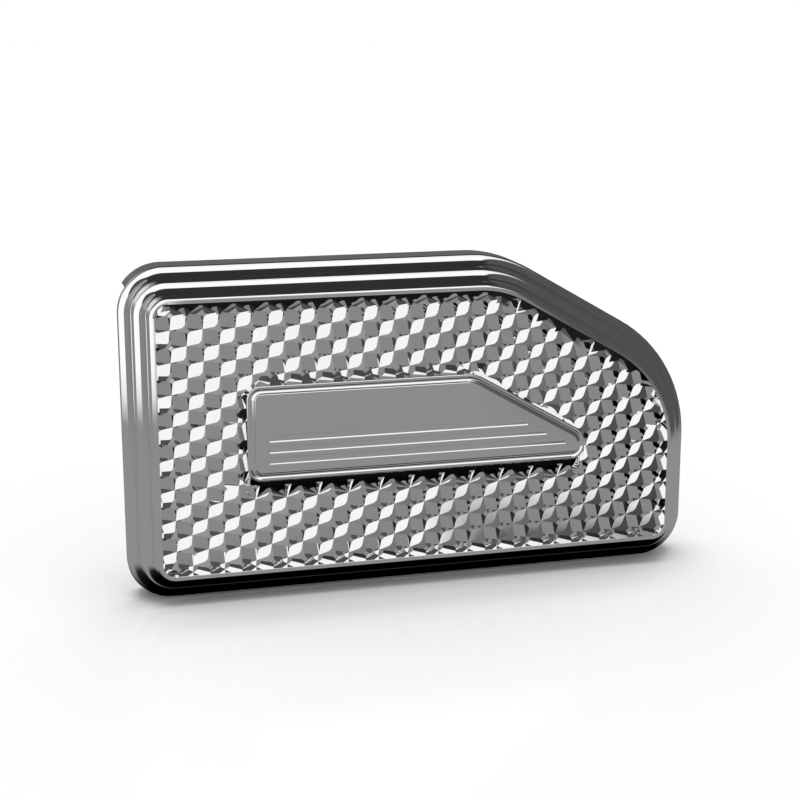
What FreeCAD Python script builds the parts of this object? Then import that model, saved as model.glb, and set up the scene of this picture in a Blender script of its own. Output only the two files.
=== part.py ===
import FreeCAD, Part
import Sketcher
import math
import os

# A chromed motorcycle brake pedal pad. It is drawn lying on its back, with its
# face towards +Z, and stood upright at the end, so that the face looks to -Y
# and +Z is up. The pedal plate seats on the plane where drawing height is zero,
# midway between the two mounting studs.

SIZES = {
    # Outline of the pad: reaches from its centre, and the corner radii of the tread inside the rim
    "pad_left": 66.3,
    "pad_right": 66.3,
    "pad_bottom": 37.35,
    "pad_top": 37.35,
    "pad_slant": 42.5,
    "pad_corner": 2.9,
    "pad_shoulder": 20.9,
    "pad_nose": 25.9,
    "slant_angle": 30.0,
    # Rim moulding: two hollow steps that rise to a narrow land
    "land_width": 1.25,
    "edge_thickness": 1.2,
    "step_rise": 3.65,
    "cove_radius": 2.0,
    "riser_angle": 72.0,
    "step_break": 0.25,
    # Tread: square pyramids left standing between crossed grooves
    "groove_pitch": 5.0,
    "groove_depth": 2.05,
    "groove_angle": 90.0,
    "rising_offset": -1.9,
    "falling_offset": -2.3,
    "land_height": 0.5,
    # Raised panel in the middle of the tread, with the corner radii of its plateau
    "panel_left": 40.0,
    "panel_right": 38.2,
    "panel_bottom": 9.75,
    "panel_top": 11.5,
    "panel_slant": 15.86,
    "panel_corner": 1.4,
    "panel_shoulder": 6.4,
    "panel_nose": 2.4,
    "panel_height": 0.6,
    "panel_border": 1.6,
    "panel_break": 0.2,
    "plateau_height": 0.8,
    "plateau_break": 0.35,
    # Three long flutes in the panel
    "flute_left": 35.0,
    "flute_drop": 0.65,
    "flute_spacing": 2.5,
    "flute_right": 24.2,
    "flute_growth": 4.6,
    "flute_radius": 0.9,
    "flute_depth": 0.4,
    "flute_point": 4.0,
    # Hollow back: face wall, skirt round the pedal plate, ribs and bosses
    "face_wall": 3.0,
    "skirt_wall": 3.7,
    "skirt_depth": 6.5,
    "skirt_break": 0.6,
    "arm_gap": 66.2,
    "rib_thickness": 2.5,
    "boss_radius": 9.0,
    "overlap": 0.6,
    # Mounting hardware
    "stud_spacing": 50.0,
    "stud_radius": 4.0,
    "stud_length": 26.0,
    "stud_grip": 6.0,
    "stud_chamfer": 0.8,
    "shoulder_radius": 5.0,
    "shoulder_length": 4.5,
    "shoulder_break": 0.3,
    "thread_clearance": 0.05,
    "washer_radius": 8.0,
    "washer_bore": 4.2,
    "washer_thickness": 1.6,
    "nut_flats": 13.0,
    "nut_height": 6.5,
    "collar_radius": 5.4,
    "collar_height": 1.5,
}

# Vertices closer to a level than this lie on it
TOUCH = 1e-4
# The two studs, and which way each lies from the middle
SIDES = (("left", -1), ("right", 1))

doc = FreeCAD.newDocument("brake_pedal_pad")
sheet = doc.addObject("Spreadsheet::Sheet", "Sizes")
for row, (alias, number) in enumerate(SIZES.items(), start=1):
    sheet.set(f"A{row}", str(number))
    sheet.setAlias(f"A{row}", alias)
doc.recompute()


def size(alias):
    """Name a cell of the sheet inside an expression."""
    return f"Sizes.{alias}"


def value(expression):
    """Work out an expression over the sheet as a plain number."""
    return float(sheet.evalExpression(expression))


LEVEL = {
    "seat": "0",
    "edge": size("edge_thickness"),
    "land": f"({size('edge_thickness')} + 2 * {size('step_rise')})",
}
LEVEL["peak"] = f"({LEVEL['land']} - {size('land_height')})"
LEVEL["valley"] = f"({LEVEL['peak']} - {size('groove_depth')})"
LEVEL["floor"] = f"({LEVEL['valley']} - {size('face_wall')})"
LEVEL["panel"] = f"({LEVEL['peak']} + {size('panel_height')})"
LEVEL["plateau"] = f"({LEVEL['panel']} + {size('plateau_height')})"

# A step's straight riser climbs what its hollow and its broken edge leave over
HOLLOW_RUN = f"({size('cove_radius')} * sin({size('riser_angle')}))"
HOLLOW_CLIMB = f"({size('cove_radius')} * (1 - cos({size('riser_angle')})))"
RISER_CLIMB = f"({size('step_rise')} - {HOLLOW_CLIMB} - {size('step_break')})"
RISER_RUN = f"({RISER_CLIMB} / tan({size('riser_angle')}))"
STEP_RUN = f"({HOLLOW_RUN} + {RISER_RUN} + {size('step_break')})"
RIM_WIDTH = f"({size('step_break')} + 2 * {STEP_RUN} + {size('land_width')})"
# Behind the seat: the end of the studs' shoulders, and the back of the washers on them
SHOULDER_END = f"(-{size('shoulder_length')})"
WASHER_BACK = f"({SHOULDER_END} - {size('washer_thickness')})"
# How far inside each outline its corner radii are measured
RADIUS_INSET = {"pad": RIM_WIDTH, "panel": size("panel_border")}


def new_body(name):
    """Start a body and return it."""
    return doc.addObject("PartDesign::Body", name)


def origin_plane(body, role):
    """Find one of a body's own origin planes by its role."""
    planes = [item for item in body.Origin.OriginFeatures if item.Role == role]
    return planes[0]


def new_sketch(body, name, role="XY_Plane", level="0", turn=0.0):
    """Attach an empty sketch to an origin plane, lifted along its normal and turned about its own Y."""
    sketch = body.newObject("Sketcher::SketchObject", name)
    sketch.AttachmentSupport = [(origin_plane(body, role), "")]
    sketch.MapMode = "FlatFace"
    turned = FreeCAD.Rotation(FreeCAD.Vector(0, 1, 0), turn)
    sketch.AttachmentOffset = FreeCAD.Placement(FreeCAD.Vector(0, 0, 0), turned)
    sketch.setExpression("AttachmentOffset.Base.z", level)
    return sketch


def bind(sketch, kind, where, expression):
    """Add a driving dimension to a sketch and tie it to the sheet."""
    index = sketch.addConstraint(Sketcher.Constraint(kind, *where, value(expression)))
    sketch.setExpression(f"Constraints[{index}]", expression)


def draw_loop(sketch, corners):
    """Draw one closed loop. A corner is x, y and what leads to the next: None for a line, or an arc.

    An arc is its radius and its turn: 1 anticlockwise, -1 clockwise.
    """
    points = [FreeCAD.Vector(value(x), value(y), 0) for x, y, _ in corners]
    edges = []
    for place, (_, _, arc) in enumerate(corners):
        start = points[place]
        end = points[(place + 1) % len(points)]
        if arc is None:
            edges.append((sketch.addGeometry(Part.LineSegment(start, end)), 1, 2))
            continue
        radius, turn = arc
        curve = arc_between(start, end, value(radius), turn)
        ends = (1, 2) if turn > 0 else (2, 1)
        edges.append((sketch.addGeometry(curve), *ends))
    for place, (edge, _, last) in enumerate(edges):
        following, first, _ = edges[(place + 1) % len(edges)]
        sketch.addConstraint(Sketcher.Constraint("Coincident", edge, last, following, first))
    for (x, y, arc), (edge, first, _) in zip(corners, edges):
        bind(sketch, "DistanceX", (edge, first), x)
        bind(sketch, "DistanceY", (edge, first), y)
        if arc is not None:
            bind(sketch, "Radius", (edge,), arc[0])


def arc_between(start, end, radius, turn):
    """Make the short arc of a given radius from one point to another."""
    chord = end - start
    half = chord.Length / 2
    rise = math.sqrt(max(radius ** 2 - half ** 2, 0.0))
    across = FreeCAD.Vector(-chord.y, chord.x, 0) / chord.Length * turn
    centre = start + chord / 2 + across * rise
    circle = Part.Circle(centre, FreeCAD.Vector(0, 0, 1), radius)
    first, last = (start, end) if turn > 0 else (end, start)
    return Part.ArcOfCircle(circle, circle.parameter(first), circle.parameter(last))


def outline(piece, inset):
    """Corners of the pad's five-sided outline, or the panel's, moved inwards and run anticlockwise.

    The loop starts at the middle of the lower side. The upper right corner is cut by a slanted side.
    """
    left = f"(-{size(piece + '_left')} + {inset})"
    right = f"({size(piece + '_right')} - {inset})"
    bottom = f"(-{size(piece + '_bottom')} + {inset})"
    top = f"({size(piece + '_top')} - {inset})"
    slant = f"({size(piece + '_slant')} - {inset})"
    swell = f"({RADIUS_INSET[piece]} - {inset})"
    corner = f"({size(piece + '_corner')} + {swell})"
    shoulder = f"({size(piece + '_shoulder')} + {swell})"
    nose = f"({size(piece + '_nose')} + {swell})"
    angle = size("slant_angle")
    shoulder_run = f"({shoulder} * tan({angle} / 2))"
    nose_run = f"({nose} * tan((90 - {angle}) / 2))"
    shoulder_x = f"(({slant} - {top} * cos({angle})) / sin({angle}))"
    nose_y = f"(({slant} - {right} * sin({angle})) / cos({angle}))"
    return [
        ("0", bottom, None),
        (f"{right} - {corner}", bottom, (corner, 1)),
        (right, f"{bottom} + {corner}", None),
        (right, f"{nose_y} - {nose_run}", (nose, 1)),
        (f"{right} - {nose_run} * cos({angle})", f"{nose_y} + {nose_run} * sin({angle})", None),
        (f"{shoulder_x} + {shoulder_run} * cos({angle})", f"{top} - {shoulder_run} * sin({angle})",
         (shoulder, 1)),
        (f"{shoulder_x} - {shoulder_run}", top, None),
        (f"{left} + {corner}", top, (corner, 1)),
        (left, f"{top} - {corner}", None),
        (left, f"{bottom} + {corner}", (corner, 1)),
        (f"{left} + {corner}", bottom, None),
    ]


def rim_section():
    """Corners of the rim's section, from its outer foot to the land and down the wall of the tread."""
    outer = f"(-{size('pad_bottom')})"
    broken = size("step_break")
    corners = [
        (outer, LEVEL["seat"], None),
        (outer, f"{LEVEL['edge']} - {broken}", None),
    ]
    for step in range(2):
        start = f"({outer} + {broken} + {step} * {STEP_RUN})"
        foot = f"({LEVEL['edge']} + {step} * {size('step_rise')})"
        riser_start = f"({start} + {HOLLOW_RUN})"
        riser_foot = f"({foot} + {HOLLOW_CLIMB})"
        corners += [
            (start, foot, (size("cove_radius"), 1)),
            (riser_start, riser_foot, None),
            (f"{riser_start} + {RISER_RUN}", f"{riser_foot} + {RISER_CLIMB}", None),
        ]
    inner = f"({outer} + {RIM_WIDTH})"
    return corners + [
        (f"{inner} - {size('land_width')}", LEVEL["land"], None),
        (inner, LEVEL["land"], None),
        (inner, LEVEL["seat"], None),
    ]


def pad_between(body, sketch, low, high):
    """Pad a sketch that lies at the low level up to the high level."""
    pad = body.newObject("PartDesign::Pad", sketch.Name + "_pad")
    pad.Profile = sketch
    pad.setExpression("Length", f"{high} - {low}")
    return pad


def outline_pad(body, name, piece, insets, low, high):
    """Pad one outline, or the ring between two, from one level to another."""
    sketch = new_sketch(body, name, level=low)
    for inset in insets:
        draw_loop(sketch, outline(piece, inset))
    return pad_between(body, sketch, low, high)


def break_edges(body, name, level, width):
    """Chamfer every edge of a body that lies flat at one level."""
    doc.recompute()
    base = body.Tip
    height = value(level)
    flat = [f"Edge{number + 1}" for number, edge in enumerate(base.Shape.Edges)
            if max(abs(vertex.Z - height) for vertex in edge.Vertexes) < TOUCH]
    chamfer = body.newObject("PartDesign::Chamfer", name)
    chamfer.Base = (base, flat)
    chamfer.setExpression("Size", width)
    doc.recompute()


def rectangle(left, bottom, right, top):
    """Corners of a plain rectangle."""
    return [(left, bottom, None), (right, bottom, None), (right, top, None), (left, top, None)]


def make_shell():
    """The casting's rim, face plate, skirt, ribs and stud bosses, before the tread is set in."""
    body = new_body("shell")
    overlap = size("overlap")
    path = new_sketch(body, "rim_path")
    draw_loop(path, outline("pad", "0"))
    section = new_sketch(body, "rim_section", role="YZ_Plane")
    draw_loop(section, rim_section())
    doc.recompute()
    rim = body.newObject("PartDesign::AdditivePipe", "rim")
    rim.Profile = section
    rim.Spine = (path, [f"Edge{number + 1}" for number in range(path.GeometryCount)])
    doc.recompute()

    plate_inset = f"({RIM_WIDTH} - {overlap})"
    plate_top = f"({LEVEL['valley']} - {overlap})"
    outline_pad(body, "plate", "pad", [plate_inset], LEVEL["floor"], plate_top)

    skirt_foot = f"(-{size('skirt_depth')})"
    outline_pad(body, "skirt", "pad", ["0", size("skirt_wall")], skirt_foot, overlap)
    break_edges(body, "skirt_edge", skirt_foot, size("skirt_break"))

    gap = new_sketch(body, "arm_gap", level=skirt_foot)
    half_gap = f"({size('arm_gap')} / 2)"
    past = f"(-{size('pad_left')} - {overlap})"
    reach = f"(-{size('pad_left')} + {RIM_WIDTH} + {size('pad_corner')})"
    draw_loop(gap, rectangle(past, f"-{half_gap}", reach, half_gap))
    doc.recompute()
    opening = body.newObject("PartDesign::Pocket", "arm_opening")
    opening.Profile = gap
    opening.Reversed = True
    opening.setExpression("Length", size("skirt_depth"))
    doc.recompute()

    rib_top = f"({LEVEL['floor']} + {overlap})"
    half_rib = f"({size('rib_thickness')} / 2)"
    inside = f"({RIM_WIDTH} - {overlap})"
    long_rib = new_sketch(body, "long_rib")
    draw_loop(long_rib, rectangle(f"-{size('pad_left')} + {inside}", f"-{half_rib}",
                                  f"{size('pad_right')} - {inside}", half_rib))
    pad_between(body, long_rib, LEVEL["seat"], rib_top)
    for side, sign in SIDES:
        centre = stud_place(sign)
        cross = new_sketch(body, f"cross_rib_{side}")
        draw_loop(cross, rectangle(f"{centre} - {half_rib}", f"-{size('pad_bottom')} + {inside}",
                                   f"{centre} + {half_rib}", f"{size('pad_top')} - {inside}"))
        pad_between(body, cross, LEVEL["seat"], rib_top)
        boss = new_sketch(body, f"boss_{side}")
        draw_circle(boss, centre, size("boss_radius"))
        pad_between(body, boss, LEVEL["seat"], rib_top)
    return body


def draw_circle(sketch, centre, radius):
    """Draw a circle whose middle lies on the sketch's X axis."""
    middle = FreeCAD.Vector(value(centre), 0, 0)
    circle = Part.Circle(middle, FreeCAD.Vector(0, 0, 1), value(radius))
    index = sketch.addGeometry(circle)
    bind(sketch, "DistanceX", (index, 3), centre)
    bind(sketch, "DistanceY", (index, 3), "0")
    bind(sketch, "Radius", (index,), radius)


def groove_rows():
    """How many grooves reach across the pad from corner to corner, made odd."""
    reach = value(f"{size('pad_left')} + {size('pad_right')} + {size('pad_bottom')} + {size('pad_top')}")
    rows = math.ceil(reach / math.sqrt(2) / value(size("groove_pitch")))
    return rows + 1 - rows % 2


def make_tread():
    """A block as large as the tread, cut by two families of crossed grooves into pyramids."""
    body = new_body("tread")
    overlap = size("overlap")
    block_inset = f"({RIM_WIDTH} - {overlap})"
    block_foot = f"({LEVEL['valley']} - 2 * {overlap})"
    outline_pad(body, "tread_block", "pad", [block_inset], block_foot, LEVEL["peak"])
    doc.recompute()
    rows = groove_rows()
    families = (("rising", 45.0), ("falling", -45.0))
    for family, turn in families:
        groove = new_sketch(body, f"{family}_groove", role="XZ_Plane", turn=turn)
        first = f"({size(family + '_offset')} - {(rows - 1) // 2} * {size('groove_pitch')})"
        over = f"({size('groove_depth')} + {size('overlap')} / 2)"
        half = f"({over} * tan({size('groove_angle')} / 2))"
        valley = LEVEL["valley"]
        draw_loop(groove, [
            (first, valley, None),
            (f"{first} + {half}", f"{valley} + {over}", None),
            (f"{first} - {half}", f"{valley} + {over}", None),
        ])
        doc.recompute()
        cut = body.newObject("PartDesign::Pocket", f"{family}_cut")
        cut.Profile = groove
        cut.Type = "ThroughAll"
        cut.Midplane = True
        doc.recompute()
        pattern = body.newObject("PartDesign::LinearPattern", f"{family}_grooves")
        pattern.Originals = [cut]
        pattern.Direction = (groove, ["H_Axis"])
        pattern.Occurrences = rows
        pattern.setExpression("Length", f"{rows - 1} * {size('groove_pitch')}")
        body.Tip = pattern
        doc.recompute()
    return body


def make_panel():
    """The raised panel: a border with sloping sides, a plateau on it and three flutes."""
    body = new_body("panel")
    foot = LEVEL["valley"]
    spread = f"({LEVEL['panel']} - {foot})"
    top = new_sketch(body, "border_top", level=LEVEL["panel"])
    draw_loop(top, outline("panel", "0"))
    base = new_sketch(body, "border_foot", level=foot)
    draw_loop(base, outline("panel", f"(-{spread})"))
    doc.recompute()
    border = body.newObject("PartDesign::AdditiveLoft", "border")
    border.Profile = base
    border.Sections = [top]
    border.Ruled = True
    break_edges(body, "border_edge", LEVEL["panel"], size("panel_break"))
    outline_pad(body, "plateau", "panel", [size("panel_border")], LEVEL["panel"], LEVEL["plateau"])
    break_edges(body, "plateau_edge", LEVEL["plateau"], size("plateau_break"))
    for number in range(3):
        cut_flute(body, number)
    return body


def cut_flute(body, number):
    """Turn one long shallow flute out of the plateau, with a pointed left end and a square right end."""
    drop = f"(-{size('flute_drop')} - {number} * {size('flute_spacing')})"
    axis_level = f"({LEVEL['plateau']} + {size('flute_radius')} - {size('flute_depth')})"
    left = f"(-{size('flute_left')})"
    right = f"({size('flute_right')} + {number} * {size('flute_growth')})"
    # The drawing plane's own normal points down the pad, so its offset is turned round
    sketch = new_sketch(body, f"flute_{number + 1}", role="XZ_Plane", level=f"-1 * {drop}")
    low = f"({axis_level} - {size('flute_radius')})"
    draw_loop(sketch, [
        (left, axis_level, None),
        (f"{left} + {size('flute_point')}", low, None),
        (right, low, None),
        (right, axis_level, None),
    ])
    doc.recompute()
    groove = body.newObject("PartDesign::Groove", f"flute_{number + 1}_cut")
    groove.Profile = sketch
    groove.ReferenceAxis = (sketch, ["Edge4"])
    groove.Angle = 360.0
    doc.recompute()


def stud_place(sign):
    """Distance of a stud from the pad's centre, along the pad."""
    return f"({sign} * {size('stud_spacing')} / 2)"


def make_casting():
    """The whole casting: shell, tread and panel in one piece, drilled for the two studs."""
    fused = doc.addObject("Part::MultiFuse", "cast_blank")
    fused.Shapes = [make_shell(), make_tread(), make_panel()]
    bores = []
    for side, sign in SIDES:
        bore = doc.addObject("Part::Cylinder", f"stud_bore_{side}")
        bore.setExpression("Radius", f"{size('stud_radius')} + {size('thread_clearance')}")
        bore.setExpression("Height", f"{size('stud_grip')} + {size('overlap')}")
        bore.setExpression("Placement.Base.x", stud_place(sign))
        bore.setExpression("Placement.Base.z", f"-{size('overlap')}")
        bores.append(bore)
    drill = doc.addObject("Part::MultiFuse", "stud_bores")
    drill.Shapes = bores
    casting = doc.addObject("Part::Cut", "pad_casting")
    casting.Base = fused
    casting.Tool = drill
    return casting


def turned_body(name, section):
    """Turn a section in the XZ plane about the Z axis."""
    body = new_body(name)
    sketch = new_sketch(body, f"{name}_section", role="XZ_Plane")
    draw_loop(sketch, section)
    doc.recompute()
    turned = body.newObject("PartDesign::Revolution", f"{name}_turned")
    turned.Profile = sketch
    turned.ReferenceAxis = (sketch, ["V_Axis"])
    turned.Angle = 360.0
    doc.recompute()
    return body


def make_stud(side):
    """A stud with chamfered ends, screwed in until the shoulder that carries the pedal meets its boss."""
    radius = size("stud_radius")
    chamfer = size("stud_chamfer")
    shoulder = size("shoulder_radius")
    broken = size("shoulder_break")
    top = size("stud_grip")
    foot = f"({top} - {size('stud_length')})"
    return turned_body(f"stud_{side}", [
        ("0", foot, None),
        (f"{radius} - {chamfer}", foot, None),
        (radius, f"{foot} + {chamfer}", None),
        (radius, SHOULDER_END, None),
        (f"{shoulder} - {broken}", SHOULDER_END, None),
        (shoulder, f"{SHOULDER_END} + {broken}", None),
        (shoulder, LEVEL["seat"], None),
        (radius, LEVEL["seat"], None),
        (radius, f"{top} - {chamfer}", None),
        (f"{radius} - {chamfer}", top, None),
        ("0", top, None),
    ])


def make_washer(side):
    """A flat washer against the end of the stud's shoulder."""
    return turned_body(f"washer_{side}", [
        (size("washer_bore"), WASHER_BACK, None),
        (size("washer_radius"), WASHER_BACK, None),
        (size("washer_radius"), SHOULDER_END, None),
        (size("washer_bore"), SHOULDER_END, None),
    ])


def make_nut(side):
    """A self-locking hexagon nut: six flats, and a round collar that holds the locking ring."""
    body = new_body(f"lock_nut_{side}")
    back = f"({WASHER_BACK} - {size('nut_height')})"
    flats = size("nut_flats")
    hexagon = new_sketch(body, f"nut_hexagon_{side}", level=back)
    across = f"({flats} / (2 * cos(30)))"
    draw_loop(hexagon, [(f"{across} * cos({60 * turn})", f"{across} * sin({60 * turn})", None)
                        for turn in range(6)])
    pad_between(body, hexagon, back, WASHER_BACK)
    doc.recompute()

    collar = new_sketch(body, f"nut_collar_{side}", level=f"{back} - {size('collar_height')}")
    draw_circle(collar, "0", size("collar_radius"))
    pad_between(body, collar, "0", f"{size('collar_height')} + {size('overlap')}")
    doc.recompute()

    bore = new_sketch(body, f"nut_bore_{side}")
    draw_circle(bore, "0", f"{size('stud_radius')} + {size('thread_clearance')}")
    doc.recompute()
    hole = body.newObject("PartDesign::Pocket", f"nut_hole_{side}")
    hole.Profile = bore
    hole.Type = "ThroughAll"
    hole.Midplane = True
    doc.recompute()
    return body


def stand_up(item, across="0"):
    """Stand a finished piece upright, face to -Y, and set it at its place along the pad."""
    item.Placement = FreeCAD.Placement(FreeCAD.Vector(0, 0, 0), FreeCAD.Rotation(FreeCAD.Vector(1, 0, 0), 90))
    item.setExpression("Placement.Base.x", across)


def export_nodes(nodes):
    """Check the whole document, then write each piece to its own file."""
    doc.recompute()
    failed = [item.Name for item in doc.Objects if {"Invalid", "Error"} & set(item.State)]
    if failed:
        raise RuntimeError(f"failed objects: {failed}")
    for node in nodes:
        if node.Shape.isNull() or not node.Shape.isValid():
            raise RuntimeError(f"bad shape: {node.Label}")
    os.makedirs("parts", exist_ok=True)
    for node in nodes:
        node.Shape.exportStep(f"parts/{node.Label}.step")
        print(node.Label, len(node.Shape.Solids), "solid,", round(node.Shape.Volume, 1), "cubic mm")


casting = make_casting()
stand_up(casting)
nodes = [casting]
for side, sign in SIDES:
    for maker in (make_stud, make_washer, make_nut):
        piece = maker(side)
        stand_up(piece, stud_place(sign))
        nodes.append(piece)
export_nodes(nodes)
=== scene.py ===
import math

import bmesh
import bpy
from mathutils import Matrix, Vector


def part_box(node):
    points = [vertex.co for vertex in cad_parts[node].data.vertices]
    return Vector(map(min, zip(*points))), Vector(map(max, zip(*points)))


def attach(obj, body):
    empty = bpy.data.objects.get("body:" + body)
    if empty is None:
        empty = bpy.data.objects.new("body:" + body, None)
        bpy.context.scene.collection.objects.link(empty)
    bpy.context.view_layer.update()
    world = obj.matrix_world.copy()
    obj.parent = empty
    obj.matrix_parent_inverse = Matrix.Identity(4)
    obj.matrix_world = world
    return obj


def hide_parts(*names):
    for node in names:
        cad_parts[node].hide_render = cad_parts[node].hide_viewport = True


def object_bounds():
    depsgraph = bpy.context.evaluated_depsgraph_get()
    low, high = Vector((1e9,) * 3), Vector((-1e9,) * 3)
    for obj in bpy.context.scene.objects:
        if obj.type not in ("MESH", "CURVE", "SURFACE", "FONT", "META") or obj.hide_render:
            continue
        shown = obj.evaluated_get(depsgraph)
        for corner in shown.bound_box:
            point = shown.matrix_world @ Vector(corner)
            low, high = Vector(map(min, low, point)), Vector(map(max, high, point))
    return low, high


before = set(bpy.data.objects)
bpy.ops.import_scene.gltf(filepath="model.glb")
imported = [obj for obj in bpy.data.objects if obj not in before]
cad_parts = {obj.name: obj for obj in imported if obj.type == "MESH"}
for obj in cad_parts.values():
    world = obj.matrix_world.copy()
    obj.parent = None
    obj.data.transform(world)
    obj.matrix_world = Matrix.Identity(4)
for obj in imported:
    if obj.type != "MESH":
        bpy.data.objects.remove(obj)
cad_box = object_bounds()

MM = 0.001
PAD_LOW, PAD_HIGH = [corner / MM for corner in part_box("pad_casting")]
GROUND = cad_box[0].z

# Camera, solved from the square grid of the tread: place in millimetres, aim in degrees
CAMERA_PLACE = (-97.3, -347.7, 90.3)
CAMERA_AZIMUTH = -15.12
CAMERA_ELEVATION = 13.41
CAMERA_LENS = 73.2
CAMERA_SENSOR = 36.0
CAMERA_CLIP = 0.01

# Sizes of the casting in millimetres. A level is a height in front of the plane where the pedal seats.
SLANT_NORMAL = 60.0
PAD_OUTLINE = {
    "left": -PAD_LOW.x, "right": PAD_HIGH.x, "bottom": -PAD_LOW.z, "top": PAD_HIGH.z,
    "slant": 42.5, "corner": 2.9, "shoulder": 20.9, "nose": 25.9, "inset": 7.116,
}
RIM_WIDTH = PAD_OUTLINE["inset"]
EDGE = 1.2
STEP_RISE = 3.65
COVE_RADIUS = 1.95
RISER_ANGLE = 72.0
EDGE_BEAD = 0.4
BEAD = 0.28
LAND_BEAD = 0.6
LAND_CROWN = 6.5
LAND_TILT = 3.0
LAND_EASE = 0.12
LAND_EASE_END = 50.0
LAND_WALLS = {"left": 75.0, "right": 75.0, "bottom": 75.0, "top": 37.0, "slant": 39.0}
LAND = EDGE + 2 * STEP_RISE
PEAK = LAND - 0.15
GROOVE_PITCH = 5.0
GROOVE_DEPTH = 2.05
RISING_OFFSET = -2.335
FALLING_OFFSET = -1.71
VALLEY = PEAK - GROOVE_DEPTH
FACE_BACK = VALLEY - 3.0
PANEL_OUTLINE = {
    "left": 40.07, "right": 38.13, "bottom": 9.68, "top": 11.57,
    "slant": 15.88, "corner": 1.4, "shoulder": 6.4, "nose": 2.4, "inset": 1.6,
}
PANEL = PEAK + 0.85
PANEL_WALLS = {"left": 75.0, "right": 75.0, "bottom": 32.0, "top": 75.0, "slant": 75.0}
PANEL_EASE = 0.3
PANEL_EASE_SWEEP = 50.0
GROOVE_PLACE = 1.0
GROOVE_HALF = 0.4
GROOVE_SLOPE = 26.0
PLATEAU = -PAD_LOW.y
PLATEAU_EASE = 0.28
FLUTES = 3
FLUTE_LEFT = -35.8
FLUTE_RIGHT = 24.2
FLUTE_GROWTH = 4.6
FLUTE_DROP = 0.2
FLUTE_SPACING = 2.5
FLUTE_RADIUS = 5.4
FLUTE_DEPTH = 0.06
FLUTE_POINT = 0.9
FLUTE_SWEEP = 12.0
FLUTE_STEPS = 5
SKIRT_INNER = 3.7
SKIRT_DEPTH = PAD_HIGH.y
SKIRT_EASE = 0.6
ARM_GAP = 66.2
ARM_REACH = 10.0
RIB_HALF = 1.25
BOSS_RADIUS = 9.0
BORE_RADIUS = 4.05
BORE_DEPTH = 6.0
STUD_PLACES = {"left": -25.0, "right": 25.0}
# How far pieces of the casting run into one another before they are joined, and how far apart their
# faces are kept so that no two share a plane
JOIN = 0.3
APART = 0.005
LEAST_CORNER = 0.3

# Fixings behind the pad, in millimetres behind the seat
STUD_RADIUS = 4.0
STUD_TIP = 20.0
STUD_CHAMFER = 0.8
SHOULDER_RADIUS = 5.0
SHOULDER_END = 4.5
SHOULDER_EASE = 0.3
THREAD_PITCH = 1.25
THREAD_DEPTH = 0.68
THREAD_FLAT = 0.125
WASHER_RADIUS = 8.0
WASHER_BORE = 4.2
WASHER_THICKNESS = 1.6
WASHER_EASE = 0.2
NUT_FLATS = 13.0
NUT_HEIGHT = 6.5
NUT_CHAMFER = 30.0
NUT_BORE = 4.05
COLLAR_RADIUS = 5.4
COLLAR_HEIGHT = 1.5
COLLAR_EASE = 0.6

# Fineness of the meshes
ARC_STEP = 3.75
SECTION_STEP = 4.0
EASE_STEP = 8.0
COARSE_STEP = 12.0
WASHER_STEP = 15.0
FLUTE_STEP = 0.75
CROWN_STEPS = 4
CHAMFER_STEPS = 8
TURN_STEPS = 96
THREAD_TURN_STEPS = 48
THREAD_STEPS = 16
SHARP_ANGLE = 26.0

# Finishes: two tints, two roughnesses, scales of the textures and heights of the bumps in metres
NOISE_LOW = 0.3
NOISE_HIGH = 0.7
CHROME_TINTS = ((0.905, 0.915, 0.925), (0.94, 0.94, 0.94))
CHROME_ROUGHNESS = (0.012, 0.04)
CHROME_CLOUD = 45.0
CHROME_PEEL = 420.0
CHROME_PEEL_HEIGHT = 8e-7
ZINC_TINTS = ((0.56, 0.58, 0.62), (0.68, 0.665, 0.62))
ZINC_ROUGHNESS = (0.22, 0.42)
ZINC_PATCHES = 160.0
ZINC_GRAIN = 2600.0
ZINC_GRAIN_HEIGHT = 6e-6


# Materials

def new_material(name):
    """A material with its own shader node, and the tools to add more."""
    material = bpy.data.materials.new(name)
    material.use_nodes = True
    nodes = material.node_tree.nodes
    return material, nodes, material.node_tree.links, nodes["Principled BSDF"]


def add_noise(nodes, links, scale, detail, distortion=0.0):
    """A noise texture laid on the object's own coordinates."""
    place = nodes.new("ShaderNodeTexCoord")
    noise = nodes.new("ShaderNodeTexNoise")
    noise.inputs["Scale"].default_value = scale
    noise.inputs["Detail"].default_value = detail
    noise.inputs["Distortion"].default_value = distortion
    links.new(place.outputs["Object"], noise.inputs["Vector"])
    return noise.outputs["Fac"]


def spread(nodes, links, source, low, high):
    """Map a texture's middle range onto a range of values."""
    scale = nodes.new("ShaderNodeMapRange")
    scale.inputs["From Min"].default_value = NOISE_LOW
    scale.inputs["From Max"].default_value = NOISE_HIGH
    scale.inputs["To Min"].default_value = low
    scale.inputs["To Max"].default_value = high
    links.new(source, scale.inputs["Value"])
    return scale.outputs["Result"]


def add_bump(nodes, links, shader, source, distance):
    """Let a texture tilt the surface by a height in metres."""
    bump = nodes.new("ShaderNodeBump")
    bump.inputs["Distance"].default_value = distance
    links.new(source, bump.inputs["Height"])
    links.new(bump.outputs["Normal"], shader.inputs["Normal"])


def tint(nodes, links, shader, source, low, high):
    """Let a texture mix two colours into the base colour."""
    mix = nodes.new("ShaderNodeMix")
    mix.data_type = "RGBA"
    mix.inputs["A"].default_value = (*low, 1.0)
    mix.inputs["B"].default_value = (*high, 1.0)
    links.new(source, mix.inputs["Factor"])
    links.new(mix.outputs["Result"], shader.inputs["Base Color"])


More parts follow.
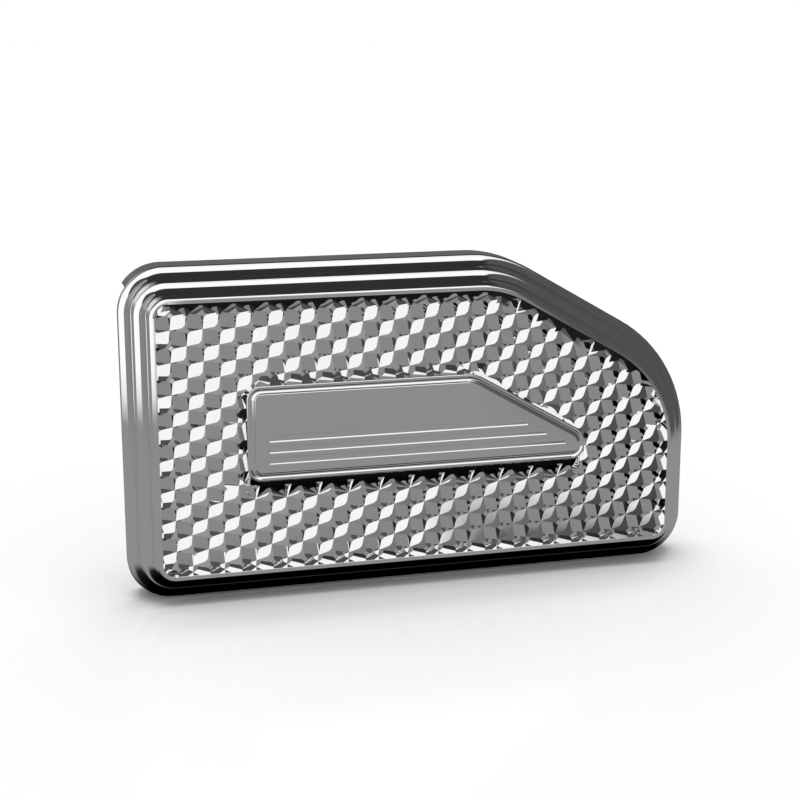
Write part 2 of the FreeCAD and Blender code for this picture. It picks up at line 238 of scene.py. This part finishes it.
def chrome_material():
    """Mirror-bright chrome plate: faint cloudiness in the polish and a trace of orange peel."""
    material, nodes, links, shader = new_material("chrome_plate")
    shader.inputs["Metallic"].default_value = 1.0
    cloud = add_noise(nodes, links, CHROME_CLOUD, detail=4.0, distortion=0.6)
    tint(nodes, links, shader, cloud, *CHROME_TINTS)
    links.new(spread(nodes, links, cloud, *CHROME_ROUGHNESS), shader.inputs["Roughness"])
    peel = add_noise(nodes, links, CHROME_PEEL, detail=2.0)
    add_bump(nodes, links, shader, peel, CHROME_PEEL_HEIGHT)
    return material


def zinc_material():
    """Bright zinc plate on steel, with a faint bluish and yellowish play and a fine grain in its roughness
    and surface.
    """
    material, nodes, links, shader = new_material("zinc_steel")
    shader.inputs["Metallic"].default_value = 1.0
    patches = add_noise(nodes, links, ZINC_PATCHES, detail=3.0, distortion=0.4)
    tint(nodes, links, shader, patches, *ZINC_TINTS)
    grain = add_noise(nodes, links, ZINC_GRAIN, detail=4.0)
    links.new(spread(nodes, links, grain, *ZINC_ROUGHNESS), shader.inputs["Roughness"])
    add_bump(nodes, links, shader, grain, ZINC_GRAIN_HEIGHT)
    return material


def set_material(item, material):
    """Give an object one material."""
    item.data.materials.clear()
    item.data.materials.append(material)


# Meshes

def new_mesh(name, points, faces):
    """Make a mesh object and link it."""
    mesh = bpy.data.meshes.new(name)
    mesh.from_pydata(points, [], faces)
    mesh.update()
    item = bpy.data.objects.new(name, mesh)
    bpy.context.scene.collection.objects.link(item)
    return item


def face_outwards(item):
    """Turn every face of a closed mesh outwards."""
    work = bmesh.new()
    work.from_mesh(item.data)
    bmesh.ops.recalc_face_normals(work, faces=work.faces)
    work.to_mesh(item.data)
    work.free()


def solid(name, points, faces):
    """A closed mesh, with its faces turned outwards."""
    item = new_mesh(name, points, faces)
    face_outwards(item)
    return item


def bridge(rows, count, closed=False):
    """Faces between rows of points that run round a ring, and from the last row to the first if closed."""
    pairs = list(zip(range(rows), range(1, rows)))
    if closed:
        pairs.append((rows - 1, 0))
    return [(low * count + spot, low * count + (spot + 1) % count,
             high * count + (spot + 1) % count, high * count + spot)
            for low, high in pairs for spot in range(count)]


def caps(rows, count):
    """Faces over the first and the last row of points."""
    return [tuple(range(count)), tuple(range((rows - 1) * count, rows * count))]


def skin(name, rings, closed):
    """Join rings of points to a closed ring, or to a capped block."""
    count = len(rings[0])
    points = [point for loop in rings for point in loop]
    faces = bridge(len(rings), count, closed)
    if not closed:
        faces += caps(len(rings), count)
    return solid(name, points, faces)


def combine(base, tools, operation):
    """Join other meshes to one, cut them from it, or keep what they share, and remove them."""
    for tool in tools:
        step = base.modifiers.new(operation.lower(), "BOOLEAN")
        step.operation = operation
        step.solver = "EXACT"
        step.object = tool
    graph = bpy.context.evaluated_depsgraph_get()
    mesh = bpy.data.meshes.new_from_object(base.evaluated_get(graph))
    base.modifiers.clear()
    base.data = mesh
    for tool in tools:
        bpy.data.objects.remove(tool)
    return base


def at_level(x, y, level):
    """Stand a point of the pad's drawing upright: the face looks to -Y."""
    return (x, -level, y)


def arc(centre, radius, first, last, step=SECTION_STEP):
    """Points along an arc between two angles in degrees."""
    steps = max(2, math.ceil(abs(last - first) / step))
    angles = [math.radians(first + (last - first) * number / steps) for number in range(steps + 1)]
    return [(centre[0] + radius * math.cos(angle), centre[1] + radius * math.sin(angle)) for angle in angles]


def outline_stations(outline):
    """Stations round an outline's corners: centre, radius with no inset, and direction outwards.

    Every inset outline has the same corner centres, so a station holds for all of them.
    """
    inset = outline["inset"]
    slope = math.radians(SLANT_NORMAL)
    right = outline["right"] - inset
    top = outline["top"] - inset
    left = inset - outline["left"]
    bottom = inset - outline["bottom"]
    slant = outline["slant"] - inset
    corner, shoulder, nose = outline["corner"], outline["shoulder"], outline["nose"]
    nose_x = right - nose
    nose_y = (slant - nose - nose_x * math.cos(slope)) / math.sin(slope)
    shoulder_y = top - shoulder
    shoulder_x = (slant - shoulder - shoulder_y * math.sin(slope)) / math.cos(slope)
    corners = [
        (right - corner, bottom + corner, corner, -90.0, 0.0),
        (nose_x, nose_y, nose, 0.0, SLANT_NORMAL),
        (shoulder_x, shoulder_y, shoulder, SLANT_NORMAL, 90.0),
        (left + corner, top - corner, corner, 90.0, 180.0),
        (left + corner, bottom + corner, corner, 180.0, 270.0),
    ]
    stations = []
    for x, y, radius, first, last in corners:
        stations += [(x, y, radius + inset, turn) for turn in arc((0.0, 0.0), 1.0, first, last, ARC_STEP)]
    return stations


def ring(outline, inset, level):
    """Points round an outline moved inwards, at one level."""
    return [at_level(x + (reach - inset) * turn[0], y + (reach - inset) * turn[1], level)
            for x, y, reach, turn in outline_stations(outline)]


def moved(outline, inwards):
    """An outline with each of its sides moved inwards by an amount of its own."""
    result = {side: outline[side] - amount for side, amount in inwards.items()}
    spare = outline["inset"] - max(inwards.values())
    for bend in ("corner", "shoulder", "nose"):
        result[bend] = max(LEAST_CORNER, outline[bend] + spare)
    return {**result, "inset": 0.0}


def wall_runs(height, angles):
    """How far a wall of one height runs out on each side of an outline."""
    return {side: height / math.tan(math.radians(angle)) for side, angle in angles.items()}


def sweep(name, outline, section, closed):
    """Carry a section of insets and levels round an outline."""
    return skin(name, [ring(outline, inset, level) for inset, level in section], closed)


def block(name, low, high):
    """A box between two corners of the drawing, each given as x, y and level."""
    points = [at_level(x, y, level) for level in (low[2], high[2])
              for x, y in ((low[0], low[1]), (high[0], low[1]), (high[0], high[1]), (low[0], high[1]))]
    return solid(name, points, caps(2, 4) + bridge(2, 4))


def turned(name, profile, place, closed, steps=TURN_STEPS, limit=None):
    """Turn a profile of radii and levels about a line through the pad, at a place along the pad.

    A limit, such as a hexagon's, gives the largest radius at each angle.
    """
    angles = [2 * math.pi * number / steps for number in range(steps)]
    rings = []
    for radius, level in profile:
        reaches = [min(radius, limit(angle)) if limit else radius for angle in angles]
        rings.append([at_level(place + reach * math.cos(angle), reach * math.sin(angle), level)
                      for reach, angle in zip(reaches, angles)])
    return skin(name, rings, closed)


# The casting

def rim_section():
    """The rim's section, from the skirt behind it over two hollow steps and a crowned land to the tread."""
    lift = math.radians(RISER_ANGLE)
    rounding = 1.0 - math.cos(lift)
    section = [
        (SKIRT_INNER, 0.0),
        (SKIRT_INNER, SKIRT_EASE - SKIRT_DEPTH),
        (SKIRT_INNER - SKIRT_EASE, -SKIRT_DEPTH),
        (SKIRT_EASE, -SKIRT_DEPTH),
        (0.0, SKIRT_EASE - SKIRT_DEPTH),
    ]
    section += arc((EDGE_BEAD, EDGE - EDGE_BEAD), EDGE_BEAD, 180.0, 90.0)
    inset = EDGE_BEAD
    for step, bead in enumerate((BEAD, LAND_BEAD)):
        foot = EDGE + step * STEP_RISE
        section += arc((inset, foot + COVE_RADIUS), COVE_RADIUS, -90.0, RISER_ANGLE - 90.0)[1:]
        climb = STEP_RISE - (COVE_RADIUS + bead) * rounding
        inset += (COVE_RADIUS + bead) * math.sin(lift) + climb / math.tan(lift)
        centre = (inset, foot + STEP_RISE - bead)
        level_off = 90.0 + (LAND_TILT if bead == LAND_BEAD else 0.0)
        section += arc(centre, bead, 90.0 + RISER_ANGLE, level_off)
    tilt = math.radians(90.0 + LAND_TILT)
    crown = (section[-1][0] - LAND_CROWN * math.cos(tilt), section[-1][1] - LAND_CROWN * math.sin(tilt))
    section += arc(crown, LAND_CROWN, 90.0 + LAND_TILT, 90.0, LAND_TILT / CROWN_STEPS)[1:]
    top = section[-1][1]
    section += arc((RIM_WIDTH - LAND_EASE, top - LAND_EASE), LAND_EASE, 90.0, LAND_EASE_END, COARSE_STEP)
    return section


def make_rim():
    """The rim, with a wall that slopes from its land into the tread.

    The skirt behind it shields the pedal plate and is open at the left for the pedal's arm.
    """
    rings = [ring(PAD_OUTLINE, inset, level) for inset, level in rim_section()]
    foot = VALLEY - JOIN
    runs = wall_runs(LAND - foot, LAND_WALLS)
    inside = moved(PAD_OUTLINE, {side: RIM_WIDTH + run for side, run in runs.items()})
    rings += [ring(inside, 0.0, foot), ring(inside, 0.0, foot - JOIN)]
    rings += [ring(PAD_OUTLINE, RIM_WIDTH, foot - JOIN), ring(PAD_OUTLINE, RIM_WIDTH, 0.0)]
    rim = skin("pad", rings, closed=True)
    opening = block("opening", (PAD_LOW.x - JOIN, -ARM_GAP / 2, -SKIRT_DEPTH - JOIN),
                    (PAD_LOW.x + ARM_REACH, ARM_GAP / 2, -APART))
    return combine(rim, [opening], "DIFFERENCE")


def make_tread():
    """The face plate with its tread: square pyramids between two families of crossed grooves."""
    reach = math.hypot(PAD_HIGH.x - PAD_LOW.x, PAD_HIGH.z - PAD_LOW.z) / 2
    cells = math.ceil(reach / GROOVE_PITCH)
    lines = range(-cells, cells + 1)
    points = []
    crossing = {}
    diagonal = math.sqrt(0.5)

    def add(rising, falling, level):
        points.append(at_level((rising + falling) * diagonal, (rising - falling) * diagonal, level))
        return len(points) - 1

    for row in lines:
        for column in lines:
            crossing[row, column] = add(
                RISING_OFFSET + row * GROOVE_PITCH, FALLING_OFFSET + column * GROOVE_PITCH, VALLEY)
    corners = ((0, 0), (1, 0), (1, 1), (0, 1))
    faces = []
    for row in lines[:-1]:
        for column in lines[:-1]:
            foot = [crossing[row + up, column + along] for up, along in corners]
            head = []
            for up, along in corners:
                rising = RISING_OFFSET + (row + up) * GROOVE_PITCH + (1 - 2 * up) * GROOVE_DEPTH
                falling = FALLING_OFFSET + (column + along) * GROOVE_PITCH + (1 - 2 * along) * GROOVE_DEPTH
                head.append(add(rising, falling, PEAK))
            faces.append(tuple(head))
            square = foot + head
            faces += [tuple(square[spot] for spot in face) for face in bridge(2, 4)]
    border = [crossing[lines[0], column] for column in lines[:-1]]
    border += [crossing[row, lines[-1]] for row in lines[:-1]]
    border += [crossing[lines[-1], column] for column in reversed(lines[1:])]
    border += [crossing[row, lines[0]] for row in reversed(lines[1:])]
    base = []
    for spot in border:
        x, _, y = points[spot]
        points.append(at_level(x, y, FACE_BACK))
        base.append(len(points) - 1)
    edge = border + base
    faces += [tuple(edge[spot] for spot in face) for face in bridge(2, len(border))]
    faces.append(tuple(base))
    tread = solid("tread", points, faces)
    field = [(RIM_WIDTH - JOIN, FACE_BACK - JOIN), (RIM_WIDTH - JOIN, PEAK + JOIN)]
    return combine(tread, [sweep("field", PAD_OUTLINE, field, closed=False)], "INTERSECT")


def make_flute(number):
    """A tool that cuts one of the panel's long flutes, with a short ramp at its left end."""
    axis = PLATEAU + FLUTE_RADIUS - FLUTE_DEPTH
    drop = -FLUTE_DROP - number * FLUTE_SPACING
    stops = []
    for step in range(-1, FLUTE_STEPS + 1):
        share = step / FLUTE_STEPS
        stops.append((FLUTE_LEFT + FLUTE_POINT * share, FLUTE_RADIUS - FLUTE_DEPTH * (1.0 - share) ** 2))
    stops.append((FLUTE_RIGHT + number * FLUTE_GROWTH, FLUTE_RADIUS))
    rings = []
    for x, radius in stops:
        bow = arc((0.0, 0.0), radius, -90.0 - FLUTE_SWEEP, -90.0 + FLUTE_SWEEP, FLUTE_STEP)
        rings.append([at_level(x, drop + offset, axis + rise) for offset, rise in bow])
    return skin(f"flute_{number}", rings, closed=False)


def make_panel():
    """The raised panel: sloping sides, a grooved border, a plateau with eased edges and three long flutes."""
    foot = VALLEY - JOIN
    runs = wall_runs(PANEL - foot, PANEL_WALLS)
    ease = PANEL_EASE * math.tan(math.radians(PANEL_EASE_SWEEP / 2))
    section = arc((ease, PANEL - PANEL_EASE), PANEL_EASE, 90.0 + PANEL_EASE_SWEEP, 90.0)
    slope = math.radians(GROOVE_SLOPE)
    hollow = GROOVE_HALF / math.sin(slope)
    middle = (GROOVE_PLACE, PANEL + hollow * math.cos(slope))
    section += arc(middle, hollow, -90.0 - GROOVE_SLOPE, -90.0 + GROOVE_SLOPE)
    border = PANEL_OUTLINE["inset"]
    section.append((border, PANEL))
    section += arc((border + PLATEAU_EASE, PLATEAU - PLATEAU_EASE), PLATEAU_EASE, 180.0, 90.0, EASE_STEP)
    rings = [ring(moved(PANEL_OUTLINE, {side: -run for side, run in runs.items()}), 0.0, foot)]
    rings += [ring(PANEL_OUTLINE, inset, level) for inset, level in section]
    panel = skin("panel", rings, closed=False)
    return combine(panel, [make_flute(number) for number in range(FLUTES)], "DIFFERENCE")


def make_ribs():
    """Three ribs and two stud bosses behind the face."""
    inside = RIM_WIDTH - JOIN
    front = FACE_BACK + JOIN
    pieces = [block("long_rib", (PAD_LOW.x + inside, -RIB_HALF, 3 * APART),
                    (PAD_HIGH.x - inside, RIB_HALF, front + APART))]
    for side, place in STUD_PLACES.items():
        pieces.append(block(f"cross_rib_{side}", (place - RIB_HALF, PAD_LOW.z + inside, 2 * APART),
                            (place + RIB_HALF, PAD_HIGH.z - inside, front + 2 * APART)))
        boss = [(BOSS_RADIUS, APART), (BOSS_RADIUS, front + 3 * APART)]
        pieces.append(turned(f"boss_{side}", boss, place, closed=False))
    return pieces


def make_pad():
    """The whole casting as one mesh, in place of its solid."""
    pad = combine(make_rim(), [make_tread(), make_panel(), *make_ribs()], "UNION")
    bores = [turned(f"bore_{side}", [(BORE_RADIUS, -JOIN), (BORE_RADIUS, BORE_DEPTH)], place, closed=False)
             for side, place in STUD_PLACES.items()]
    return combine(pad, bores, "DIFFERENCE")


# The fixings

def thread_radius(turn, behind):
    """Radius of the stud's thread at a turn in whole turns and a distance behind the seat."""
    phase = (behind / THREAD_PITCH + turn) % 1.0
    height = (abs(2.0 * phase - 1.0) - THREAD_FLAT) / (1.0 - 2.0 * THREAD_FLAT)
    cut = THREAD_DEPTH * (1.0 - min(1.0, max(0.0, height)))
    chamfer = STUD_RADIUS - STUD_CHAMFER + max(0.0, STUD_TIP - behind)
    return min(STUD_RADIUS - cut, chamfer)


def make_stud(side, place):
    """A shouldered stud with a rolled thread on its free end."""
    steps = THREAD_TURN_STEPS
    smooth = [
        (STUD_RADIUS - STUD_CHAMFER, -BORE_DEPTH),
        (STUD_RADIUS, STUD_CHAMFER - BORE_DEPTH),
        (STUD_RADIUS, 0.0),
        (SHOULDER_RADIUS, 0.0),
        (SHOULDER_RADIUS, SHOULDER_END - SHOULDER_EASE),
        (SHOULDER_RADIUS - SHOULDER_EASE, SHOULDER_END),
    ]
    rows = [([radius] * steps, behind) for radius, behind in smooth]
    length = STUD_TIP - SHOULDER_END
    count = round(length / THREAD_PITCH * THREAD_STEPS)
    for number in range(count + 1):
        behind = SHOULDER_END + length * number / count
        rows.append(([thread_radius(spot / steps, behind) for spot in range(steps)], behind))
    angles = [2 * math.pi * spot / steps for spot in range(steps)]
    rings = [[at_level(place + radius * math.cos(angle), radius * math.sin(angle), -behind)
              for radius, angle in zip(radii, angles)] for radii, behind in rows]
    return skin(f"threaded_stud_{side}", rings, closed=False)


def make_washer(side, place):
    """A flat washer with stamped, eased edges."""
    back = SHOULDER_END + WASHER_THICKNESS
    outer = WASHER_RADIUS - WASHER_EASE
    profile = [
        (WASHER_BORE, SHOULDER_END + WASHER_EASE),
        (WASHER_BORE + WASHER_EASE, SHOULDER_END),
        *arc((outer, SHOULDER_END + WASHER_EASE), WASHER_EASE, -90.0, 0.0, WASHER_STEP),
        *arc((outer, back - WASHER_EASE), WASHER_EASE, 0.0, 90.0, WASHER_STEP),
        (WASHER_BORE, back),
    ]
    return turned(f"stamped_washer_{side}", [(radius, -behind) for radius, behind in profile], place,
                  closed=True)


def hexagon(angle):
    """How far the nut's flats reach at an angle."""
    sector = math.pi / 3
    return NUT_FLATS / 2 / math.cos((angle + sector / 2) % sector - sector / 2)


def make_nut(side, place):
    """A self-locking nut: flats with chamfered corners, and a rolled collar over its locking ring."""
    face = SHOULDER_END + WASHER_THICKNESS
    back = face + NUT_HEIGHT
    half = NUT_FLATS / 2
    corner = half / math.cos(math.pi / 6)
    slope = math.tan(math.radians(NUT_CHAMFER))
    chamfer = [half + (corner - half) * number / CHAMFER_STEPS for number in range(CHAMFER_STEPS + 1)]
    end = back + COLLAR_HEIGHT
    profile = [
        (NUT_BORE, face),
        *[(radius, face + (radius - half) * slope) for radius in chamfer],
        *[(radius, back - (radius - half) * slope) for radius in reversed(chamfer)],
        (COLLAR_RADIUS, back),
        *arc((COLLAR_RADIUS - COLLAR_EASE, end - COLLAR_EASE), COLLAR_EASE, 0.0, 90.0, COARSE_STEP),
        (NUT_BORE, end),
    ]
    return turned(f"nut_{side}", [(radius, -behind) for radius, behind in profile], place,
                  closed=True, limit=hexagon)


def dress(item, node, material):
    """Finish a piece that stands for a node: metres, smooth curves with crisp edges, and its material."""
    item.data.transform(Matrix.Scale(MM, 4))
    mesh = item.data
    mesh.polygons.foreach_set("use_smooth", [True] * len(mesh.polygons))
    mesh.set_sharp_from_angle(angle=math.radians(SHARP_ANGLE))
    weigh = item.modifiers.new("even_shading", "WEIGHTED_NORMAL")
    weigh.keep_sharp = True
    set_material(item, material)
    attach(item, "root")
    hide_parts(node)


# Stage

def place_camera():
    """Set the camera where the photograph was taken from."""
    data = bpy.data.cameras.new("camera")
    data.lens = CAMERA_LENS
    data.sensor_width = CAMERA_SENSOR
    data.clip_start = CAMERA_CLIP
    camera = bpy.data.objects.new("camera", data)
    bpy.context.scene.collection.objects.link(camera)
    camera.location = Vector(CAMERA_PLACE) * MM
    camera.rotation_euler = (
        math.radians(90.0 - CAMERA_ELEVATION), 0.0, math.radians(CAMERA_AZIMUTH))
    bpy.context.scene.camera = camera


# Light panels that polished metal mirrors, painted one over the other on a grey surround.
# A panel has two ranges in degrees, a level and the softness of its edges. Sides run from 0 in front
# of the pad to 180 behind it, right positive, with heights above the horizon. Leans are angles to the
# right of the pad's middle plane, with climbs from the front horizon over the top.
SURROUND = 0.28
LIGHT_PANELS = [
    ("side", (-180.0, 180.0), (-90.0, -34.0), 0.012, 9.0),
    ("side", (-180.0, -50.0), (-14.0, 20.0), 0.235, 2.0),
    ("side", (20.0, 152.0), (-13.0, 76.0), 0.085, 2.0),
    ("side", (150.0, 216.0), (-13.0, 34.0), 0.13, 2.0),
    ("side", (-97.0, -61.0), (16.0, 76.0), 0.32, 4.0),
    ("side", (-62.0, -53.0), (16.0, 76.0), 0.18, 3.0),
    ("side", (-54.0, 0.0), (16.0, 76.0), 0.07, 3.0),
    ("side", (-52.0, 6.3), (-13.2, 16.0), 1.06, 0.6),
    ("side", (5.7, 20.5), (-3.8, 16.0), 1.06, 0.8),
    ("lean", (-17.0, 22.5), (-3.8, 49.0), 1.06, 1.0),
    ("side", (100.0, 240.0), (34.0, 90.0), 0.03, 4.0),
    ("lean", (-24.0, 26.0), (49.0, 146.0), 0.03, 1.0),
    ("side", (-168.0, -112.0), (10.0, 42.0), 0.75, 8.0),
]
DOME_RADIUS = 8.0
DOME_STEP = 1
FIRST_BOUNCE = 0.5


def soft_step(number, middle, blur):
    """Rise smoothly from 0 to 1 round a middle."""
    share = min(1.0, max(0.0, (number - middle + blur) / (2 * blur)))
    return share * share * (3.0 - 2.0 * share)


def within(number, limits, blur):
    """How far a number lies inside soft limits, from 0 to 1."""
    return soft_step(number, limits[0], blur) * (1.0 - soft_step(number, limits[1], blur))


def studio_level(direction):
    """Grey level of the studio in one direction from the pad."""
    side = math.degrees(math.atan2(direction.x, -direction.y))
    height = math.degrees(math.asin(max(-1.0, min(1.0, direction.z))))
    lean = math.degrees(math.asin(max(-1.0, min(1.0, direction.x))))
    climb = math.degrees(math.atan2(direction.z, -direction.y))
    level = SURROUND
    for kind, across, upwards, target, blur in LIGHT_PANELS:
        if kind == "side":
            start = across[0] - blur
            turn = (side - start) % 360.0 + start
            share = within(turn, across, blur) * within(height, upwards, blur)
        else:
            share = within(lean, across, blur) * within(climb, upwards, blur)
        level += (target - level) * share
    return level


def mirrored_only(item):
    """Show an object in reflections only."""
    item.visible_camera = False
    item.visible_diffuse = False
    item.visible_shadow = False
    item.visible_transmission = False
    item.visible_volume_scatter = False


def set_levels(item, levels):
    """Store one grey level for each point of a mesh."""
    store = item.data.attributes.new("level", "FLOAT", "POINT")
    store.data.foreach_set("value", levels)


def read_level(nodes):
    """Read the stored grey level in a material."""
    level = nodes.new("ShaderNodeAttribute")
    level.attribute_name = "level"
    return level.outputs["Fac"]


def studio_material():
    """A glow of the stored level that lights nothing but mirrors."""
    material = bpy.data.materials.new("studio")
    material.use_nodes = True
    nodes, links = material.node_tree.nodes, material.node_tree.links
    nodes.clear()
    path = nodes.new("ShaderNodeLightPath")
    first = nodes.new("ShaderNodeMath")
    first.operation = "LESS_THAN"
    first.inputs[1].default_value = FIRST_BOUNCE
    links.new(path.outputs["Diffuse Depth"], first.inputs[0])
    strength = nodes.new("ShaderNodeMath")
    strength.operation = "MULTIPLY"
    links.new(read_level(nodes), strength.inputs[0])
    links.new(first.outputs["Value"], strength.inputs[1])
    glow = nodes.new("ShaderNodeEmission")
    links.new(strength.outputs["Value"], glow.inputs["Strength"])
    output = nodes.new("ShaderNodeOutputMaterial")
    links.new(glow.outputs["Emission"], output.inputs["Surface"])
    return material


def make_studio():
    """A dome round the pad that holds the light panels."""
    columns = 360 // DOME_STEP
    rows = 180 // DOME_STEP
    directions = []
    for row in range(rows + 1):
        height = math.radians(-90.0 + row * DOME_STEP)
        for column in range(columns):
            side = math.radians(column * DOME_STEP)
            directions.append(Vector((math.sin(side) * math.cos(height), -math.cos(side) * math.cos(height),
                                      math.sin(height))))
    dome = new_mesh("studio", [direction * DOME_RADIUS for direction in directions],
                    bridge(rows + 1, columns))
    set_levels(dome, [studio_level(direction) for direction in directions])
    set_material(dome, studio_material())
    mirrored_only(dome)


# Painted shadow under the pad, a black sheet that only polished metal mirrors: half sizes of its core and its
# soft reach
PAINTED_SHADOW_SIDE = 60.0
PAINTED_SHADOW_FRONT = 8.5
PAINTED_SHADOW_BACK = 8.0
PAINTED_SHADOW_START = 1.5
PAINTED_SHADOW_END = 11.0
PAINTED_SHADOW_RINGS = 16
PAINTED_SHADOW_TURNS = 48
PAINTED_SHADOW_DROP = 0.05


def make_painted_shadow():
    """A painted shadow: a black sheet on the floor under the pad, seen only in reflections, that fades out
    round it.
    """
    points = []
    levels = []
    for number in range(PAINTED_SHADOW_RINGS + 1):
        reach = PAINTED_SHADOW_END * number / PAINTED_SHADOW_RINGS
        share = (reach - PAINTED_SHADOW_START) / (PAINTED_SHADOW_END - PAINTED_SHADOW_START)
        # How clear the painted shadow is on each ring: black at its core, clear at its reach
        levels += [soft_step(share, 0.5, 0.5)] * PAINTED_SHADOW_TURNS
        for spot in range(PAINTED_SHADOW_TURNS):
            angle = 2 * math.pi * (spot + 0.5) / PAINTED_SHADOW_TURNS
            x = math.copysign(PAINTED_SHADOW_SIDE, math.cos(angle)) + reach * math.cos(angle)
            y = (PAINTED_SHADOW_BACK if math.sin(angle) > 0 else -PAINTED_SHADOW_FRONT) + reach * math.sin(angle)
            points.append(Vector((x * MM, y * MM, GROUND - PAINTED_SHADOW_DROP * MM)))
    faces = bridge(PAINTED_SHADOW_RINGS + 1, PAINTED_SHADOW_TURNS)
    faces.append(tuple(range(PAINTED_SHADOW_TURNS)))
    painted_shadow = new_mesh("painted_shadow", points, faces)
    set_levels(painted_shadow, levels)
    # Painted shadow: black where it is full, see-through where it has faded
    material, nodes, links, shader = new_material("painted_shadow")
    shader.inputs["Base Color"].default_value = (0.0, 0.0, 0.0, 1.0)
    shader.inputs["Specular IOR Level"].default_value = 0.0
    clear = nodes.new("ShaderNodeBsdfTransparent")
    mix = nodes.new("ShaderNodeMixShader")
    links.new(read_level(nodes), mix.inputs["Fac"])
    links.new(shader.outputs["BSDF"], mix.inputs[1])
    links.new(clear.outputs["BSDF"], mix.inputs[2])
    links.new(mix.outputs["Shader"], nodes["Material Output"].inputs["Surface"])
    set_material(painted_shadow, material)
    mirrored_only(painted_shadow)


# The white floor and the soft light from above
FLOOR_REACH = 6.0
FLOOR_WHITE = (0.97, 0.97, 0.97, 1.0)
SUN_STRENGTH = 1.45
SUN_WIDTH = 40.0
FILL = 0.66
FLOOR_GLOSS = 0.07
FLOOR_ROUGHNESS = 0.15


def make_floor():
    """A wide white floor with a faint gloss."""
    corners = [(-1, -1), (1, -1), (1, 1), (-1, 1)]
    points = [Vector((x * FLOOR_REACH, y * FLOOR_REACH, GROUND)) for x, y in corners]
    floor = new_mesh("floor", points, [(0, 1, 2, 3)])
    floor.visible_glossy = False
    material, nodes, links, shader = new_material("floor")
    shader.inputs["Base Color"].default_value = FLOOR_WHITE
    shader.inputs["Specular IOR Level"].default_value = 0.0
    gloss = nodes.new("ShaderNodeBsdfAnisotropic")
    gloss.inputs["Roughness"].default_value = FLOOR_ROUGHNESS
    mix = nodes.new("ShaderNodeMixShader")
    mix.inputs["Fac"].default_value = FLOOR_GLOSS
    links.new(shader.outputs["BSDF"], mix.inputs[1])
    links.new(gloss.outputs["BSDF"], mix.inputs[2])
    links.new(mix.outputs["Shader"], nodes["Material Output"].inputs["Surface"])
    set_material(floor, material)


def light_studio():
    """A broad soft lamp high above the pad, in a white room."""
    lamp = bpy.data.lights.new("lamp", "SUN")
    lamp.energy = SUN_STRENGTH
    lamp.angle = math.radians(SUN_WIDTH)
    item = bpy.data.objects.new("lamp", lamp)
    item.visible_glossy = False
    bpy.context.scene.collection.objects.link(item)
    world = bpy.data.worlds.new("room")
    world.use_nodes = True
    nodes, links = world.node_tree.nodes, world.node_tree.links
    path = nodes.new("ShaderNodeLightPath")
    seen = None
    for kind in ("Is Camera Ray", "Is Glossy Ray", "Is Transmission Ray"):
        step = nodes.new("ShaderNodeMath")
        step.operation = "MAXIMUM"
        step.inputs[0].default_value = FILL
        if seen:
            links.new(seen, step.inputs[0])
        links.new(path.outputs[kind], step.inputs[1])
        seen = step.outputs["Value"]
    background = nodes["Background"]
    background.inputs["Color"].default_value = (1.0, 1.0, 1.0, 1.0)
    links.new(seen, background.inputs["Strength"])
    bpy.context.scene.world = world


chrome = chrome_material()
zinc = zinc_material()
dress(make_pad(), "pad_casting", chrome)
for side, place in STUD_PLACES.items():
    dress(make_stud(side, place), f"stud_{side}", zinc)
    dress(make_washer(side, place), f"washer_{side}", zinc)
    dress(make_nut(side, place), f"lock_nut_{side}", zinc)

place_camera()
light_studio()
make_floor()
# Painted shadow under the pad, seen only in reflections
make_painted_shadow()
make_studio()

bpy.context.scene.view_settings.view_transform = "Standard"
